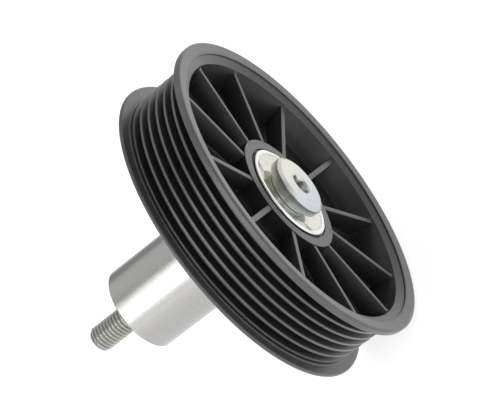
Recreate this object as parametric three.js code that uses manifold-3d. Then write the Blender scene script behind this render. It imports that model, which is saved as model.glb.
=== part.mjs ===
// Ribbed belt idler pulley on a deep-groove ball bearing, with its long aluminium
// spacer and its through bolt.  Millimetres, +Z up.  The pulley turns about the Y axis.
// The origin is on that axis, in the plane where the spacer seats on the engine:
// the bolt's thread points along +Y and its head faces -Y.

import * as THREE from "three";
import { mergeVertices } from "three/addons/utils/BufferGeometryUtils.js";
import Module from "manifold-3d";

// ---------------------------------------------------------------- driving dimensions

const SEAT_TO_RIM = 77;            // seat plane to the front flange's face

const RIM_WIDTH = 27.5;            // over both flanges
const FLANGE_RADIUS = 60.2;
const REAR_FLANGE_RADIUS = 60.6;
const FLANGE_EDGE = 0.5;           // rounding of a flange's corners
const CREST_RADIUS = 56.3;
const GROOVE_COUNT = 6;
const GROOVE_PITCH = 3.56;
const GROOVE_DEPTH = 3.0;
const GROOVE_HALF_ANGLE = Math.PI / 9;
const GROOVE_ROOT_HALF = 0.25;
const FIRST_GROOVE = 5.12;         // front face to the first groove's middle
const REAR_WALL = 25.6;            // front face to the rear flange's inner wall

const FACE_INNER_RADIUS = 55.4;    // inner edge of the front flange's flat band
const FACE_STEP = 1.0;             // depth of the step at that edge
const MOUTH_RADIUS = 52.6;         // rim's bore where the pockets open
const MOUTH_DEPTH = 2.6;
const RIM_BORE_RADIUS = 50.0;      // rim's bore at the web

const WEB_FRONT = 12.0;
const WEB_REAR = 15.5;
const COLLAR_RADIUS = 24.4;        // low collar round the hub's foot
const COLLAR_HEIGHT = 0.7;
const HUB_RADIUS = 22.4;
const HUB_FRONT = 5.5;
const HUB_REAR = 21.0;
const HUB_LIP_RADIUS = 18.5;       // lips that hold the bearing in the hub

const SPOKE_COUNT = 12;
const SPOKE_WIDTH = 2.0;
const SPOKE_RIM_SET = 3.6;         // spoke edge below the face, at the rim
const SPOKE_HUB_SET = 5.8;         // and at the hub
const SPOKE_OVERLAP = 0.6;         // how far a spoke runs into the rim, hub and web

const BEARING_MID = 12.95;         // front face to the bearing's middle
const BEARING_HALF_WIDTH = 6.0;
const BEARING_OUTER_RADIUS = 20.0;
const BEARING_BORE_RADIUS = 8.5;
const BEARING_CHAMFER = 0.6;
const OUTER_SHOULDER_RADIUS = 16.9;
const INNER_SHOULDER_RADIUS = 11.6;
const RACE_RADIUS = 3.5;
const RACE_STEPS = 6;
const SEAL_SEAT_RADIUS = 17.9;
const SEAL_SEAT_DEPTH = 1.1;

const BALL_COUNT = 8;
const BALL_RADIUS = 3.3735;
const BALL_PITCH_RADIUS = 14.25;

const CAGE_INNER_RADIUS = 13.0;
const CAGE_OUTER_RADIUS = 15.5;
const CAGE_SHEET = 0.75;
const CAGE_POCKET_RADIUS = 3.6;
const CAGE_SPLIT_GAP = 0.05;       // half of the gap between the cage's halves
const CAGE_TRIM = 1.0;             // how far the cutting bodies run past the cage
const BALL_SPACING = (2 * Math.PI) / BALL_COUNT;
const RIVET_SHANK_RADIUS = 0.45;
const RIVET_HOLE_RADIUS = 0.7;
const RIVET_HEAD_RADIUS = 0.85;
const RIVET_HEAD_HEIGHT = 0.45;

const SEAL_INNER_RADIUS = 11.8;
const SEAL_OUTER_RADIUS = 17.8;
const SEAL_THICKNESS = 0.9;

const CAP_RADIUS = 17.8;
const CAP_SHEET = 0.8;
const CAP_RIM_DEPTH = 4.7;         // front face to the cap's raised rim
const CAP_RIM_RADIUS = 16.9;       // crown of that rim
const CAP_SKIRT_DEPTH = 6.3;       // front face to the rim's turned-down edge
const CAP_SEAT_RADIUS = 12.3;      // flat seat under the bolt's head
const CAP_BORE_RADIUS = 5.35;

const HEAD_TOP_RADIUS = 10.0;
const HEAD_RADIUS = 11.5;
const HEAD_BEVEL = 0.9;
const HEAD_FLANGE = 3.8;           // head's top to the underside of its flange
const HEAD_NECK_RADIUS = 8.6;
const SOCKET_SIDES = 6;
const SOCKET_ACROSS_FLATS = 7.0;
const SOCKET_DEPTH = 4.5;
const BOLT_RADIUS = 5.0;
const BOLT_BEYOND_SEAT = 21.0;     // thread that stands out of the spacer
const THREAD_LENGTH = 30.0;
const THREAD_RADIUS = 4.93;
const THREAD_CHAMFER = 1.0;

const SPACER_RADIUS = 16.25;
const SPACER_BORE_RADIUS = 5.25;
const SPACER_CHAMFER = 0.6;
const SPACER_NOSE_RADIUS = 8.45;
const SPACER_SHOULDER_RADIUS = 11.2;
const SPACER_SHOULDER_HEIGHT = 1.2;

const FIT_GAP = 0.05;              // between pieces that are fastened together
const NOSE_SHORT = 0.5;            // nose ends this far short of the bearing's face

const RIM_SEGMENTS = 48;
const HUB_SEGMENTS = 32;
const BOLT_SEGMENTS = 24;
const POCKET_SEGMENTS = 12;
const RIVET_SEGMENTS = 8;
const BALL_SEGMENTS = 12;
const BALL_RINGS = 8;
const WELD_DISTANCE = 1e-4;        // vertices closer than this are one

// A depth is measured from the front flange's face towards the engine.
const atDepth = (depth) => depth - SEAT_TO_RIM;
const BEARING_FRONT = BEARING_MID - BEARING_HALF_WIDTH;
const BEARING_REAR = BEARING_MID + BEARING_HALF_WIDTH;

// ---------------------------------------------------------------- geometry helpers

const wasm = await Module();
wasm.setup();

function merged(geometry) {
  const bare = geometry.index ? geometry.clone() : mergeVertices(geometry);
  bare.deleteAttribute("normal");
  bare.deleteAttribute("uv");
  return mergeVertices(bare, WELD_DISTANCE);
}

function signedVolume(geometry) {
  const position = geometry.getAttribute("position");
  const index = geometry.index.array;
  const corner = [new THREE.Vector3(), new THREE.Vector3(), new THREE.Vector3()];
  let volume = 0;
  for (let i = 0; i < index.length; i += 3) {
    corner.forEach((point, j) => point.fromBufferAttribute(position, index[i + j]));
    volume += corner[0].dot(corner[1].clone().cross(corner[2])) / 6;
  }
  return volume;
}

// Drops slivers with a repeated corner, and turns the faces outwards.
function closed(geometry) {
  const solid = merged(geometry);
  const kept = [];
  const index = solid.index.array;
  for (let i = 0; i < index.length; i += 3) {
    const [a, b, c] = [index[i], index[i + 1], index[i + 2]];
    if (a !== b && b !== c && c !== a) kept.push(a, b, c);
  }
  solid.setIndex(kept);
  if (signedVolume(solid) < 0) {
    for (let i = 0; i < kept.length; i += 3) {
      [kept[i + 1], kept[i + 2]] = [kept[i + 2], kept[i + 1]];
    }
    solid.setIndex(kept);
  }
  return solid;
}

// Turns an outline of [radius, y] pairs about the Y axis.  It closes on itself.
function turned(outline, segments) {
  const points = [...outline, outline[0]].map(([radius, y]) => new THREE.Vector2(radius, y));
  return closed(new THREE.LatheGeometry(points, segments));
}

// The same for an outline whose first and last points lie on the axis.
function turnedSolid(outline, segments) {
  const points = outline.map(([radius, y]) => new THREE.Vector2(radius, y));
  return closed(new THREE.LatheGeometry(points, segments));
}

function toManifold(geometry) {
  const solid = closed(geometry);
  const vertProperties = Float32Array.from(solid.getAttribute("position").array);
  const triVerts = Uint32Array.from(solid.index.array);
  return new wasm.Manifold(new wasm.Mesh({ numProp: 3, vertProperties, triVerts }));
}

function fromManifold(manifold) {
  const { vertProperties, triVerts } = manifold.getMesh();
  const geometry = new THREE.BufferGeometry();
  geometry.setAttribute("position", new THREE.BufferAttribute(Float32Array.from(vertProperties), 3));
  geometry.setIndex(Array.from(triVerts));
  return geometry;
}

const join = (first, others) => others.reduce((sum, next) => sum.add(next), first);
const cut = (first, others) => others.reduce((rest, next) => rest.subtract(next), first);

function shadedMesh(name, geometry, color, roughness, metalness) {
  const flat = geometry.toNonIndexed();
  flat.computeVertexNormals();
  const material = new THREE.MeshStandardMaterial({ color, roughness, metalness });
  const mesh = new THREE.Mesh(flat, material);
  mesh.name = name;
  return mesh;
}

const around = (count) => Array.from({ length: count }, (_, i) => (2 * Math.PI * i) / count);

// ---------------------------------------------------------------- pulley

// Six V grooves, as outline points from the front to the rear.
function grooveOutline() {
  const mouthHalf = GROOVE_ROOT_HALF + GROOVE_DEPTH * Math.tan(GROOVE_HALF_ANGLE);
  const rootRadius = CREST_RADIUS - GROOVE_DEPTH;
  const points = [];
  for (let i = 0; i < GROOVE_COUNT; i += 1) {
    const middle = FIRST_GROOVE + i * GROOVE_PITCH;
    if (i > 0) points.push([CREST_RADIUS, atDepth(middle - mouthHalf)]);
    points.push([rootRadius, atDepth(middle - GROOVE_ROOT_HALF)]);
    points.push([rootRadius, atDepth(middle + GROOVE_ROOT_HALF)]);
    points.push([CREST_RADIUS, atDepth(middle + mouthHalf)]);
  }
  return points;
}

// Inner end of the front flange's wall, which carries on the first groove's flank.
function frontWallDepth() {
  const rootRadius = CREST_RADIUS - GROOVE_DEPTH;
  const rise = FLANGE_RADIUS - rootRadius;
  return FIRST_GROOVE - GROOVE_ROOT_HALF - rise * Math.tan(GROOVE_HALF_ANGLE);
}

function pulleyOutline() {
  const bore = BEARING_OUTER_RADIUS + FIT_GAP;
  const lipFront = BEARING_FRONT - FIT_GAP;
  const lipRear = BEARING_REAR + FIT_GAP;
  return [
    [FACE_INNER_RADIUS, atDepth(FACE_STEP / 2)],
    [FLANGE_RADIUS - FLANGE_EDGE, atDepth(0)],
    [FLANGE_RADIUS, atDepth(FLANGE_EDGE)],
    [FLANGE_RADIUS, atDepth(frontWallDepth())],
    ...grooveOutline(),
    [CREST_RADIUS, atDepth(REAR_WALL - FLANGE_EDGE)],
    [REAR_FLANGE_RADIUS, atDepth(REAR_WALL + FLANGE_EDGE / 2)],
    [REAR_FLANGE_RADIUS, atDepth(RIM_WIDTH - FLANGE_EDGE)],
    [REAR_FLANGE_RADIUS - FLANGE_EDGE, atDepth(RIM_WIDTH)],
    [MOUTH_RADIUS, atDepth(RIM_WIDTH)],
    [RIM_BORE_RADIUS, atDepth(WEB_REAR)],
    [HUB_RADIUS, atDepth(WEB_REAR)],
    [HUB_RADIUS, atDepth(HUB_REAR)],
    [HUB_LIP_RADIUS, atDepth(HUB_REAR)],
    [HUB_LIP_RADIUS, atDepth(lipRear)],
    [bore, atDepth(lipRear)],
    [bore, atDepth(lipFront)],
    [HUB_LIP_RADIUS, atDepth(lipFront)],
    [HUB_LIP_RADIUS, atDepth(HUB_FRONT)],
    [HUB_RADIUS, atDepth(HUB_FRONT)],
    [HUB_RADIUS, atDepth(WEB_FRONT - COLLAR_HEIGHT)],
    [COLLAR_RADIUS, atDepth(WEB_FRONT - COLLAR_HEIGHT)],
    [COLLAR_RADIUS, atDepth(WEB_FRONT)],
    [RIM_BORE_RADIUS, atDepth(WEB_FRONT)],
    [MOUTH_RADIUS, atDepth(MOUTH_DEPTH)],
    [FACE_INNER_RADIUS, atDepth(FACE_STEP)],
  ];
}

// One spoke plate from the web to its free edge, on one side of the web.
// The free edge slopes from rimDepth at the rim to hubDepth at the hub.
function spokePlate(angle, webDepth, rimDepth, hubDepth) {
  const shape = new THREE.Shape();
  shape.moveTo(HUB_RADIUS - SPOKE_OVERLAP, atDepth(hubDepth));
  shape.lineTo(MOUTH_RADIUS, atDepth(rimDepth));
  shape.lineTo(RIM_BORE_RADIUS + SPOKE_OVERLAP, atDepth(webDepth));
  shape.lineTo(HUB_RADIUS - SPOKE_OVERLAP, atDepth(webDepth));
  const plate = new THREE.ExtrudeGeometry(shape, { depth: SPOKE_WIDTH, bevelEnabled: false });
  plate.translate(0, 0, -SPOKE_WIDTH / 2);
  plate.rotateY(-angle);
  return toManifold(plate);
}

function pulley() {
  const body = toManifold(turned(pulleyOutline(), RIM_SEGMENTS));
  const frontRoot = WEB_FRONT + SPOKE_OVERLAP;
  const rearRoot = WEB_REAR - SPOKE_OVERLAP;
  const rearRimSet = RIM_WIDTH - SPOKE_RIM_SET;
  const rearHubSet = HUB_REAR - (SPOKE_HUB_SET - HUB_FRONT);
  const plates = around(SPOKE_COUNT).flatMap((angle) => [
    spokePlate(angle, frontRoot, SPOKE_RIM_SET, SPOKE_HUB_SET),
    spokePlate(angle, rearRoot, rearRimSet, rearHubSet),
  ]);
  return fromManifold(join(body, plates));
}

// ---------------------------------------------------------------- bearing

// Race groove as [radius, y] points about the bearing's middle.  side is 1 on the
// outer ring, whose groove opens inwards, and -1 on the inner ring.
function raceArc(shoulderRadius, side) {
  const halfAngle = Math.acos(Math.abs(shoulderRadius - BALL_PITCH_RADIUS) / RACE_RADIUS);
  const points = [];
  for (let i = 0; i <= RACE_STEPS; i += 1) {
    const angle = halfAngle * (1 - (2 * i) / RACE_STEPS);
    const radius = BALL_PITCH_RADIUS + side * RACE_RADIUS * Math.cos(angle);
    points.push([radius, RACE_RADIUS * Math.sin(angle)]);
  }
  return points;
}

const inBearing = (points) => points.map(([radius, y]) => [radius, y + atDepth(BEARING_MID)]);

function outerRing() {
  const end = BEARING_HALF_WIDTH;
  const seat = end - SEAL_SEAT_DEPTH;
  const outline = [
    [BEARING_OUTER_RADIUS, -end + BEARING_CHAMFER],
    [BEARING_OUTER_RADIUS, end - BEARING_CHAMFER],
    [BEARING_OUTER_RADIUS - BEARING_CHAMFER, end],
    [SEAL_SEAT_RADIUS, end],
    [SEAL_SEAT_RADIUS, seat],
    [OUTER_SHOULDER_RADIUS, seat],
    ...raceArc(OUTER_SHOULDER_RADIUS, 1),
    [OUTER_SHOULDER_RADIUS, -seat],
    [SEAL_SEAT_RADIUS, -seat],
    [SEAL_SEAT_RADIUS, -end],
    [BEARING_OUTER_RADIUS - BEARING_CHAMFER, -end],
  ];
  return turned(inBearing(outline), RIM_SEGMENTS);
}

function innerRing() {
  const end = BEARING_HALF_WIDTH;
  const outline = [
    [BEARING_BORE_RADIUS, -end + BEARING_CHAMFER],
    [BEARING_BORE_RADIUS, end - BEARING_CHAMFER],
    [BEARING_BORE_RADIUS + BEARING_CHAMFER, end],
    [INNER_SHOULDER_RADIUS, end],
    ...raceArc(INNER_SHOULDER_RADIUS, -1),
    [INNER_SHOULDER_RADIUS, -end],
    [BEARING_BORE_RADIUS + BEARING_CHAMFER, -end],
  ];
  return turned(inBearing(outline), HUB_SEGMENTS);
}

// side is -1 for the front seal and 1 for the rear one.
function seal(side) {
  const face = BEARING_HALF_WIDTH - FIT_GAP * 2;
  const back = face - SEAL_THICKNESS;
  const outline = [
    [SEAL_INNER_RADIUS, side * back],
    [SEAL_OUTER_RADIUS, side * back],
    [SEAL_OUTER_RADIUS, side * face],
    [SEAL_INNER_RADIUS, side * face],
  ];
  return turned(inBearing(outline), HUB_SEGMENTS);
}

const ball = () => closed(new THREE.SphereGeometry(BALL_RADIUS, BALL_SEGMENTS, BALL_RINGS));

// A round bar along the radius, through the ball at this angle.  overrun lengthens it
// past the cage at both ends.
function pocketBar(radius, angle, overrun) {
  const length = CAGE_OUTER_RADIUS - CAGE_INNER_RADIUS + 2 * overrun;
  const bar = new THREE.CylinderGeometry(radius, radius, length, POCKET_SEGMENTS);
  bar.rotateZ(Math.PI / 2);
  bar.translate(BALL_PITCH_RADIUS, 0, 0);
  bar.rotateY(-angle);
  return toManifold(bar);
}

function rivetHole(angle) {
  const reach = CAGE_POCKET_RADIUS;
  const hole = new THREE.CylinderGeometry(RIVET_HOLE_RADIUS, RIVET_HOLE_RADIUS, reach, RIVET_SEGMENTS);
  hole.translate(BALL_PITCH_RADIUS, 0, 0);
  hole.rotateY(-angle);
  return toManifold(hole);
}

// Half of the pressed ribbon cage: flat lands between the balls, arched over each ball.
// side is -1 for the front half and 1 for the rear one.
function cageHalf(side) {
  const crown = CAGE_POCKET_RADIUS + CAGE_SHEET;
  const band = (inner, outer, near, far) => turned(
    [[inner, side * near], [outer, side * near], [outer, side * far], [inner, side * far]],
    HUB_SEGMENTS,
  );
  const lands = toManifold(band(CAGE_INNER_RADIUS, CAGE_OUTER_RADIUS, CAGE_SPLIT_GAP, CAGE_SHEET));
  const space = toManifold(band(
    CAGE_INNER_RADIUS - CAGE_TRIM,
    CAGE_OUTER_RADIUS + CAGE_TRIM,
    CAGE_SPLIT_GAP,
    crown + CAGE_TRIM,
  ));
  const atBalls = around(BALL_COUNT);
  const arches = atBalls.map((angle) => pocketBar(crown, angle, 0));
  const pockets = atBalls.map((angle) => pocketBar(CAGE_POCKET_RADIUS, angle, CAGE_TRIM));
  const holes = atBalls.map((angle) => rivetHole(angle + BALL_SPACING / 2));
  const ribbon = join(lands, arches).intersect(space);
  const half = fromManifold(cut(ribbon, [...pockets, ...holes]));
  half.translate(0, atDepth(BEARING_MID), 0);
  return half;
}

function rivet() {
  const grip = CAGE_SHEET + FIT_GAP / 2;
  const top = grip + RIVET_HEAD_HEIGHT;
  return turnedSolid([
    [0, -top],
    [RIVET_HEAD_RADIUS / 2, -top],
    [RIVET_HEAD_RADIUS, -grip],
    [RIVET_SHANK_RADIUS, -grip],
    [RIVET_SHANK_RADIUS, grip],
    [RIVET_HEAD_RADIUS, grip],
    [RIVET_HEAD_RADIUS / 2, top],
    [0, top],
  ], RIVET_SEGMENTS);
}

// ---------------------------------------------------------------- fixed pieces

function dustCap() {
  const seatBack = BEARING_FRONT - FIT_GAP;
  const seatFront = seatBack - CAP_SHEET;
  return turned([
    [CAP_BORE_RADIUS, atDepth(seatFront)],
    [CAP_SEAT_RADIUS, atDepth(seatFront)],
    [CAP_RIM_RADIUS, atDepth(CAP_RIM_DEPTH)],
    [CAP_RADIUS - CAP_SHEET / 4, atDepth(CAP_RIM_DEPTH + CAP_SHEET / 4)],
    [CAP_RADIUS, atDepth(CAP_RIM_DEPTH + CAP_SHEET)],
    [CAP_RADIUS, atDepth(CAP_SKIRT_DEPTH)],
    [CAP_RADIUS - CAP_SHEET, atDepth(CAP_SKIRT_DEPTH)],
    [CAP_RADIUS - CAP_SHEET, atDepth(CAP_RIM_DEPTH + CAP_SHEET)],
    [CAP_SEAT_RADIUS, atDepth(seatBack)],
    [CAP_BORE_RADIUS, atDepth(seatBack)],
  ], HUB_SEGMENTS);
}

function boltOutline() {
  const underHead = BEARING_FRONT - CAP_SHEET - 2 * FIT_GAP;
  const tip = SEAT_TO_RIM + BOLT_BEYOND_SEAT;
  return [
    [0, atDepth(0)],
    [HEAD_TOP_RADIUS, atDepth(0)],
    [HEAD_RADIUS, atDepth(HEAD_BEVEL)],
    [HEAD_RADIUS, atDepth(HEAD_FLANGE)],
    [HEAD_NECK_RADIUS, atDepth(HEAD_FLANGE)],
    [HEAD_NECK_RADIUS, atDepth(underHead)],
    [BOLT_RADIUS, atDepth(underHead)],
    [BOLT_RADIUS, atDepth(tip - THREAD_LENGTH)],
    [THREAD_RADIUS, atDepth(tip - THREAD_LENGTH)],
    [THREAD_RADIUS, atDepth(tip - THREAD_CHAMFER)],
    [THREAD_RADIUS - THREAD_CHAMFER, atDepth(tip)],
    [0, atDepth(tip)],
  ];
}

function bolt() {
  const cornerRadius = SOCKET_ACROSS_FLATS / Math.sqrt(3);
  const hexagon = new THREE.CylinderGeometry(cornerRadius, cornerRadius, 2 * SOCKET_DEPTH, SOCKET_SIDES);
  hexagon.translate(0, atDepth(0), 0);
  const blank = toManifold(turnedSolid(boltOutline(), BOLT_SEGMENTS));
  return fromManifold(cut(blank, [toManifold(hexagon)]));
}

function spacer() {
  const shoulder = BEARING_REAR + FIT_GAP;
  const shoulderBack = shoulder + SPACER_SHOULDER_HEIGHT;
  return turned([
    [SPACER_BORE_RADIUS, atDepth(BEARING_FRONT + NOSE_SHORT)],
    [SPACER_NOSE_RADIUS, atDepth(BEARING_FRONT + NOSE_SHORT)],
    [SPACER_NOSE_RADIUS, atDepth(shoulder)],
    [SPACER_SHOULDER_RADIUS, atDepth(shoulder)],
    [SPACER_SHOULDER_RADIUS, atDepth(shoulderBack)],
    [SPACER_RADIUS - SPACER_CHAMFER, atDepth(shoulderBack)],
    [SPACER_RADIUS, atDepth(shoulderBack + SPACER_CHAMFER)],
    [SPACER_RADIUS, atDepth(SEAT_TO_RIM - SPACER_CHAMFER)],
    [SPACER_RADIUS - SPACER_CHAMFER, atDepth(SEAT_TO_RIM)],
    [SPACER_BORE_RADIUS, atDepth(SEAT_TO_RIM)],
  ], HUB_SEGMENTS);
}

// ---------------------------------------------------------------- assembly

const NYLON = [0x1c1c1b, 0.55, 0.0];
const ZINC = [0xd9d8cf, 0.35, 0.9];
const ALUMINIUM = [0xc9c9c7, 0.3, 1.0];
const THREAD_STEEL = [0xb8b7ae, 0.4, 0.9];
const BEARING_STEEL = [0xb5b5b5, 0.2, 1.0];
const PRESSED_STEEL = [0x9a9894, 0.45, 0.9];
const SEAL_RUBBER = [0x171717, 0.7, 0.0];

function onPitchCircle(mesh, angle) {
  mesh.position.set(
    BALL_PITCH_RADIUS * Math.cos(angle),
    atDepth(BEARING_MID),
    BALL_PITCH_RADIUS * Math.sin(angle),
  );
  return mesh;
}

const assembly = new THREE.Group();
assembly.add(shadedMesh("pulley", pulley(), ...NYLON));
assembly.add(shadedMesh("bearing_outer_ring", outerRing(), ...BEARING_STEEL));
assembly.add(shadedMesh("bearing_inner_ring", innerRing(), ...BEARING_STEEL));
assembly.add(shadedMesh("bearing_seal_front", seal(-1), ...SEAL_RUBBER));
assembly.add(shadedMesh("bearing_seal_rear", seal(1), ...SEAL_RUBBER));
assembly.add(shadedMesh("cage_half_front", cageHalf(-1), ...PRESSED_STEEL));
assembly.add(shadedMesh("cage_half_rear", cageHalf(1), ...PRESSED_STEEL));
around(BALL_COUNT).forEach((angle, i) => {
  assembly.add(onPitchCircle(shadedMesh(`ball_${i + 1}`, ball(), ...BEARING_STEEL), angle));
  const pin = shadedMesh(`cage_rivet_${i + 1}`, rivet(), ...PRESSED_STEEL);
  assembly.add(onPitchCircle(pin, angle + BALL_SPACING / 2));
});
assembly.add(shadedMesh("dust_cap", dustCap(), ...ZINC));
assembly.add(shadedMesh("bolt", bolt(), ...THREAD_STEEL));
assembly.add(shadedMesh("spacer", spacer(), ...ALUMINIUM));

export default assembly;
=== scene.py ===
import math

import bmesh
import bpy
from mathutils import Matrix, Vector


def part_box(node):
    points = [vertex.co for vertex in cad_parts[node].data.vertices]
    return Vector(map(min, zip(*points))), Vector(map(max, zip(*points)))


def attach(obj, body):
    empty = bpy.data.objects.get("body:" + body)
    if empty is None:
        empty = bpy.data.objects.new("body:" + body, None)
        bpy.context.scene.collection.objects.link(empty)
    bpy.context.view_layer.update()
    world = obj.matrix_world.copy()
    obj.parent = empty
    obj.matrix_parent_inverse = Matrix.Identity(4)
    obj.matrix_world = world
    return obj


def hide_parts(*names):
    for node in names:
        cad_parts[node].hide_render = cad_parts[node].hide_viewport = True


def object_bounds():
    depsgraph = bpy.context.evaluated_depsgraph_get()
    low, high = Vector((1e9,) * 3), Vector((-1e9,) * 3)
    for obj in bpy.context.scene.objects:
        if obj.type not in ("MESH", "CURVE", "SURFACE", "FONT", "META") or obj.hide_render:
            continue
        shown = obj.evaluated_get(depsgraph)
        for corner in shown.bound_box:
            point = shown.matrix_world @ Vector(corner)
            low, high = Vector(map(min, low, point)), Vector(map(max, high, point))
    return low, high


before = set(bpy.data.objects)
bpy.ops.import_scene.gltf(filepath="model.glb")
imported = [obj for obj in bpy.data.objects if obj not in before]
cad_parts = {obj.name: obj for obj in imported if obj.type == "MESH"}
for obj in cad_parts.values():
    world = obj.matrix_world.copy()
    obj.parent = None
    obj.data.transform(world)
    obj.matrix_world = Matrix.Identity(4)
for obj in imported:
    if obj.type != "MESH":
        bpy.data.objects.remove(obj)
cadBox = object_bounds()
print("frame loaded:", len(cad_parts), "nodes")

mm = 0.001
fullTurn = 2 * math.pi
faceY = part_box("pulley")[0].y          # front flange's face; depths run from here along +Y
seatDepth = -faceY / mm                # depth of the plane where the spacer seats
depsgraph = bpy.context.evaluated_depsgraph_get


# ---- small mesh helpers: outlines are (radius, depth) in millimetres

def roundCorner(before, corner, after, fillet, steps):
    # The arc that rounds one corner of an outline, or the corner itself.
    here = Vector(corner)
    back = Vector(before) - here
    ahead = Vector(after) - here
    reach = min(back.length, ahead.length) * 0.48
    half = back.angle(ahead) / 2
    if fillet <= 0 or half > math.radians(88):
        return [tuple(here)]
    trim = min(fillet / math.tan(half), reach)
    radius = trim * math.tan(half)
    centre = here + (back.normalized() + ahead.normalized()).normalized() * (radius / math.sin(half))
    first = here + back.normalized() * trim - centre
    last = here + ahead.normalized() * trim - centre
    sweep = first.angle(last)
    side = 1 if first.x * last.y - first.y * last.x > 0 else -1
    points = []
    for i in range(steps + 1):
        turn = side * sweep * i / steps
        points.append((centre.x + first.x * math.cos(turn) - first.y * math.sin(turn),
                       centre.y + first.x * math.sin(turn) + first.y * math.cos(turn)))
    return points


def roundOutline(corners, closed=True, steps=3, support=0.05):
    # Rounds (radius, depth, fillet) corners, and adds a point just inside each end of a
    # long straight, so that shading turns only over the arcs.
    count = len(corners)
    points = []
    for i, (radius, depth, fillet) in enumerate(corners):
        if not closed and i in (0, count - 1):
            points.append([(radius, depth)])
            continue
        before = corners[i - 1][:2]
        after = corners[(i + 1) % count][:2]
        points.append(roundCorner(before, (radius, depth), after, fillet, steps))
    outline = []
    for i, arc in enumerate(points):
        outline += arc
        if not closed and i == count - 1:
            break
        start = Vector(arc[-1])
        run = Vector(points[(i + 1) % count][0]) - start
        if run.length > 8 * support:
            step = run.normalized() * support
            outline += [tuple(start + step), tuple(start + run - step)]
    return outline


def placed(radius, depth, angle):
    return Vector((radius * mm * math.cos(angle), faceY + depth * mm, radius * mm * math.sin(angle)))


def finishMesh(bm, name, sharpAngle=40):
    mesh = bpy.data.meshes.new(name)
    bmesh.ops.remove_doubles(bm, verts=bm.verts, dist=1e-7)
    bmesh.ops.recalc_face_normals(bm, faces=bm.faces)
    bm.to_mesh(mesh)
    bm.free()
    return smoothObject(mesh, name, sharpAngle)


def smoothObject(mesh, name, sharpAngle=40):
    for polygon in mesh.polygons:
        polygon.use_smooth = True
    mesh.set_sharp_from_angle(angle=math.radians(sharpAngle))
    piece = bpy.data.objects.new(name, mesh)
    bpy.context.scene.collection.objects.link(piece)
    return piece


def revolve(name, outline, steps, closed=True, centre=(0, 0), sharpAngle=40):
    # Turns an outline about the Y direction.  A radius may be a function of the angle.
    # An open outline starts and ends on the axis, where one vertex closes it.
    bm = bmesh.new()
    shift = Vector((centre[0] * mm, 0, centre[1] * mm))
    rings = []
    for radius, depth in outline:
        if not callable(radius) and radius < 1e-6:
            rings.append([bm.verts.new(placed(0, depth, 0) + shift)])
            continue
        ring = []
        for i in range(steps):
            angle = fullTurn * i / steps
            here = radius(angle) if callable(radius) else radius
            ring.append(bm.verts.new(placed(here, depth, angle) + shift))
        rings.append(ring)
    pairs = list(zip(rings, rings[1:]))
    if closed:
        pairs.append((rings[-1], rings[0]))
    for near, far in pairs:
        for i in range(steps):
            j = (i + 1) % steps
            corners = [near[i % len(near)], near[j % len(near)], far[j % len(far)], far[i % len(far)]]
            bm.faces.new(list(dict.fromkeys(corners)))
    return finishMesh(bm, name, sharpAngle)


# ---- node trees: one way to add a node, and arithmetic on its sockets

class Wire:
    # An output socket.  Arithmetic on it adds Math nodes to the same tree.
    def __init__(self, graph, socket):
        self.graph = graph
        self.socket = socket

    def out(self, name):
        return Wire(self.graph, self.socket.node.outputs[name])

    def math(self, operation, *others):
        values = {i: value for i, value in enumerate((self, *others))}
        return self.graph.node("ShaderNodeMath", {"operation": operation}, values)

    def flipped(self, operation, other):
        return self.graph.node("ShaderNodeMath", {"operation": operation}, {0: other, 1: self})

    def __add__(self, other):
        return self.math("ADD", other)

    def __sub__(self, other):
        return self.math("SUBTRACT", other)

    def __mul__(self, other):
        return self.math("MULTIPLY", other)

    def __truediv__(self, other):
        return self.math("DIVIDE", other)

    def __rsub__(self, other):
        return self.flipped("SUBTRACT", other)

    def __rtruediv__(self, other):
        return self.flipped("DIVIDE", other)

    __radd__ = __add__
    __rmul__ = __mul__

    def clamped(self):
        return self.graph.node("ShaderNodeClamp", {}, {"Value": self})

    def ramp(self, low, high):
        # 0 below low, 1 above high, smooth between
        return self.graph.node("ShaderNodeMapRange", {"interpolation_type": "SMOOTHSTEP"},
                               {"Value": self, "From Min": low, "From Max": high})


class Graph:
    def __init__(self, tree):
        self.tree = tree

    def node(self, kind, settings=None, values=None, output=0):
        made = self.tree.nodes.new(kind)
        for name, value in (settings or {}).items():
            if name == "stops":
                self.setStops(made.color_ramp, value)
            else:
                setattr(made, name, value)
        for key, value in (values or {}).items():
            if isinstance(value, Wire):
                self.tree.links.new(value.socket, made.inputs[key])
            else:
                made.inputs[key].default_value = value
        return Wire(self, made.outputs[output]) if len(made.outputs) else made

    def setStops(self, ramp, stops):
        while len(ramp.elements) < len(stops):
            ramp.elements.new(1)
        for element, (position, color) in zip(ramp.elements, stops):
            element.position = position
            element.color = (*color, 1)

    def mixed(self, factor, first, second):
        values = {"Factor": factor, 6: first, 7: second}
        return self.node("ShaderNodeMix", {"data_type": "RGBA"}, values, output=2)


def newMaterial(name):
    material = bpy.data.materials.new(name)
    material.use_nodes = True
    material.node_tree.nodes.clear()
    return material, Graph(material.node_tree)


def closeMaterial(graph, values):
    shader = graph.node("ShaderNodeBsdfPrincipled", {}, values)
    graph.node("ShaderNodeOutputMaterial", {}, {"Surface": shader})


def objectPlace(graph):
    # Object coordinates in millimetres: the vector, and the distance from the Y axis.
    place = graph.node("ShaderNodeTexCoord", {}, {}, output="Object")
    inMm = graph.node("ShaderNodeVectorMath", {"operation": "SCALE"}, {0: place, "Scale": 1 / mm})
    parts = graph.node("ShaderNodeSeparateXYZ", {}, {0: inMm})
    across = parts.out("X")
    up = parts.out("Z")
    radius = (across * across + up * up).math("SQRT")
    return inMm, parts.out("Y"), radius


def noise(graph, vector, scale, detail=3, roughness=0.5):
    values = {"Vector": vector, "Scale": scale, "Detail": detail, "Roughness": roughness}
    return graph.node("ShaderNodeTexNoise", {}, values)


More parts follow.
